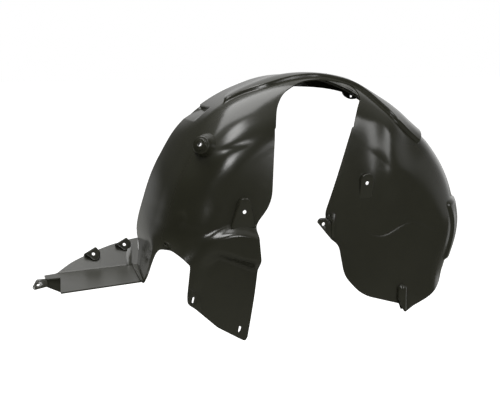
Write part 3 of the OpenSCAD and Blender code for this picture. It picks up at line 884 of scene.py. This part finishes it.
def makeFloor():
    z, half = studio["partBottom"] - studio["floorDrop"], studio["floorHalf"]
    mesh = bpy.data.meshes.new("studioFloor")
    mesh.from_pydata([(-half, -half, z), (half, -half, z), (half, half, z), (-half, half, z)], [],
                     [(0, 1, 2, 3)])
    floor = bpy.data.objects.new("studioFloor", mesh)
    bpy.context.scene.collection.objects.link(floor)
    # matt studio paper: the camera sees it nearly white with the part's shadow on it
    material = bpy.data.materials.new("paleStudioPaper")
    material.use_nodes = True
    tree = material.node_tree
    tree.nodes.clear()
    out = addNode(tree, "ShaderNodeOutputMaterial")
    path = addNode(tree, "ShaderNodeLightPath")
    paper = addNode(tree, "ShaderNodeBsdfDiffuse", {"Color": hexColour(studio["floorColour"])})
    glow = addNode(tree, "ShaderNodeEmission",
                   {"Color": (1, 1, 1, 1), "Strength": studio["floorGlow"]})
    bright = addNode(tree, "ShaderNodeAddShader", None, {0: paper.outputs[0], 1: glow.outputs[0]})
    dimPaper = addNode(tree, "ShaderNodeBsdfDiffuse",
                       {"Color": hexColour(studio["floorSeenByPart"])})
    coord = addNode(tree, "ShaderNodeTexCoord")
    split = addNode(tree, "ShaderNodeSeparateXYZ", None, {0: coord.outputs["Object"]})
    limits = dict(zip(("From Min", "From Max", "To Min", "To Max"), studio["farFloor"]))
    far = addNode(tree, "ShaderNodeMapRange", limits, {"Value": split.outputs["Y"]})
    farGlow = addNode(tree, "ShaderNodeEmission", None, {"Strength": far.outputs[0]})
    dim = addNode(tree, "ShaderNodeAddShader", None,
                  {0: dimPaper.outputs[0], 1: farGlow.outputs[0]})
    pick = addNode(tree, "ShaderNodeMixShader", None,
                   {0: path.outputs["Is Camera Ray"], 1: dim.outputs[0], 2: bright.outputs[0]})
    tree.links.new(pick.outputs[0], out.inputs[0])
    mesh.materials.append(material)


makeFloor()

# azimuth, elevation, distance in m, width, height, radiance, roll
lights = {
    "overheadSoftbox": (-125, 72, 2.4, 2.0, 1.5, 4.6, 0),
    "frontLeftSoftbox": (-36, 48, 2.4, 0.52, 0.85, 11.0, 40),
    "frontLowSoftbox": (-13, 15, 2.4, 0.42, 0.42, 13.0, 0),
    "frontRightStrip": (28.5, 16, 2.4, 0.44, 1.75, 4.6, -45),
    "rightReflector": (96, -12, 2.4, 1.3, 0.68, 1.1, 0),
}


def addSoftLight(name):
    azimuth, elevation, distance, width, height, radiance, roll = lights[name]
    aim = Vector(studio["lightAim"])
    lamp = bpy.data.lights.new(name, "AREA")
    lamp.shape = "RECTANGLE"
    lamp.size, lamp.size_y = width, height
    lamp.energy = radiance * math.pi * width * height
    obj = bpy.data.objects.new(name, lamp)
    obj.location = aim + distance * directionFrom(azimuth, elevation)
    turn = (aim - obj.location).to_track_quat("-Z", "Y").to_matrix()
    obj.rotation_euler = (turn @ Matrix.Rotation(math.radians(roll), 3, "Z")).to_euler()
    bpy.context.scene.collection.objects.link(obj)


for name in lights:
    addSoftLight(name)

# what the part sees of the room: axis of the view, start, end, brightness before and after.
# A pale backdrop stands behind and to the right; the room in front and low down is dim.
room = {
    "leftAcross": ("X", -0.2, 0.12, 1, 0), "leftUp": ("Z", 0.0, 0.14, 0.32, 0.05),
    "right": ("X", -0.2, 0.12, 0, 0.65), "farRight": ("X", 0.2, 0.7, 0, 0.3),
    "behind": ("Y", 0.1, 0.9, 0, 1),
    "sideAcross": ("X", 0.5, 0.95, 0, 0.7), "sideUp": ("Z", 0.1, 0.5, 1, 0.15),
    "ceiling": ("Z", 0.35, 1.0, 0, 0.5), "ground": ("Z", -0.35, 0.1, 0.1, 0.0),
}


def makeWorld():
    world = bpy.data.worlds.new("studioRoom")
    world.use_nodes = True
    tree = world.node_tree
    tree.nodes.clear()
    out = addNode(tree, "ShaderNodeOutputWorld")
    path = addNode(tree, "ShaderNodeLightPath")
    coord = addNode(tree, "ShaderNodeTexCoord")
    split = addNode(tree, "ShaderNodeSeparateXYZ", None, {0: coord.outputs["Generated"]})

    def ramp(key):
        axis, start, end, low, high = room[key]
        return addNode(tree, "ShaderNodeMapRange",
                       {"interpolation_type": "SMOOTHSTEP", "From Min": start, "From Max": end,
                        "To Min": low, "To Max": high}, {"Value": split.outputs[axis]}).outputs[0]

    def combine(operation, first, second):
        return addNode(tree, "ShaderNodeMath", {"operation": operation},
                       {0: first, 1: second}).outputs[0]
    left = combine("MULTIPLY", ramp("leftAcross"), ramp("leftUp"))
    right = combine("ADD", ramp("right"), ramp("farRight"))
    backdrop = combine("MULTIPLY", combine("ADD", left, right), ramp("behind"))
    side = combine("MULTIPLY", ramp("sideAcross"), ramp("sideUp"))
    front = combine("ADD", ramp("ceiling"), ramp("ground"))
    level = combine("ADD", combine("ADD", backdrop, side), front)
    seenByPart = addNode(tree, "ShaderNodeBackground", {"Color": (1, 1, 1, 1)}, {"Strength": level})
    white = addNode(tree, "ShaderNodeBackground", {"Color": (1, 1, 1, 1), "Strength": 1.0})
    pick = addNode(tree, "ShaderNodeMixShader", None,
                   {0: path.outputs["Is Camera Ray"], 1: seenByPart.outputs[0],
                    2: white.outputs[0]})
    tree.links.new(pick.outputs[0], out.inputs[0])
    bpy.context.scene.world = world


makeWorld()


def makeCamera():
    camera = bpy.data.cameras.new("photoCamera")
    camera.lens, camera.sensor_width, camera.sensor_fit = studio["lens"], 36.0, "HORIZONTAL"
    camera.clip_end = 200
    obj = bpy.data.objects.new("photoCamera", camera)
    azimuth, elevation = studio["azimuth"], studio["elevation"]
    back = directionFrom(azimuth, elevation)
    obj.location = Vector(studio["target"]) + studio["cameraDistance"] * back
    obj.rotation_euler = (math.radians(90 - elevation), 0, math.radians(azimuth))
    bpy.context.scene.collection.objects.link(obj)
    bpy.context.scene.camera = obj


makeCamera()
bpy.context.scene.view_settings.view_transform = "Standard"
print("studio made")
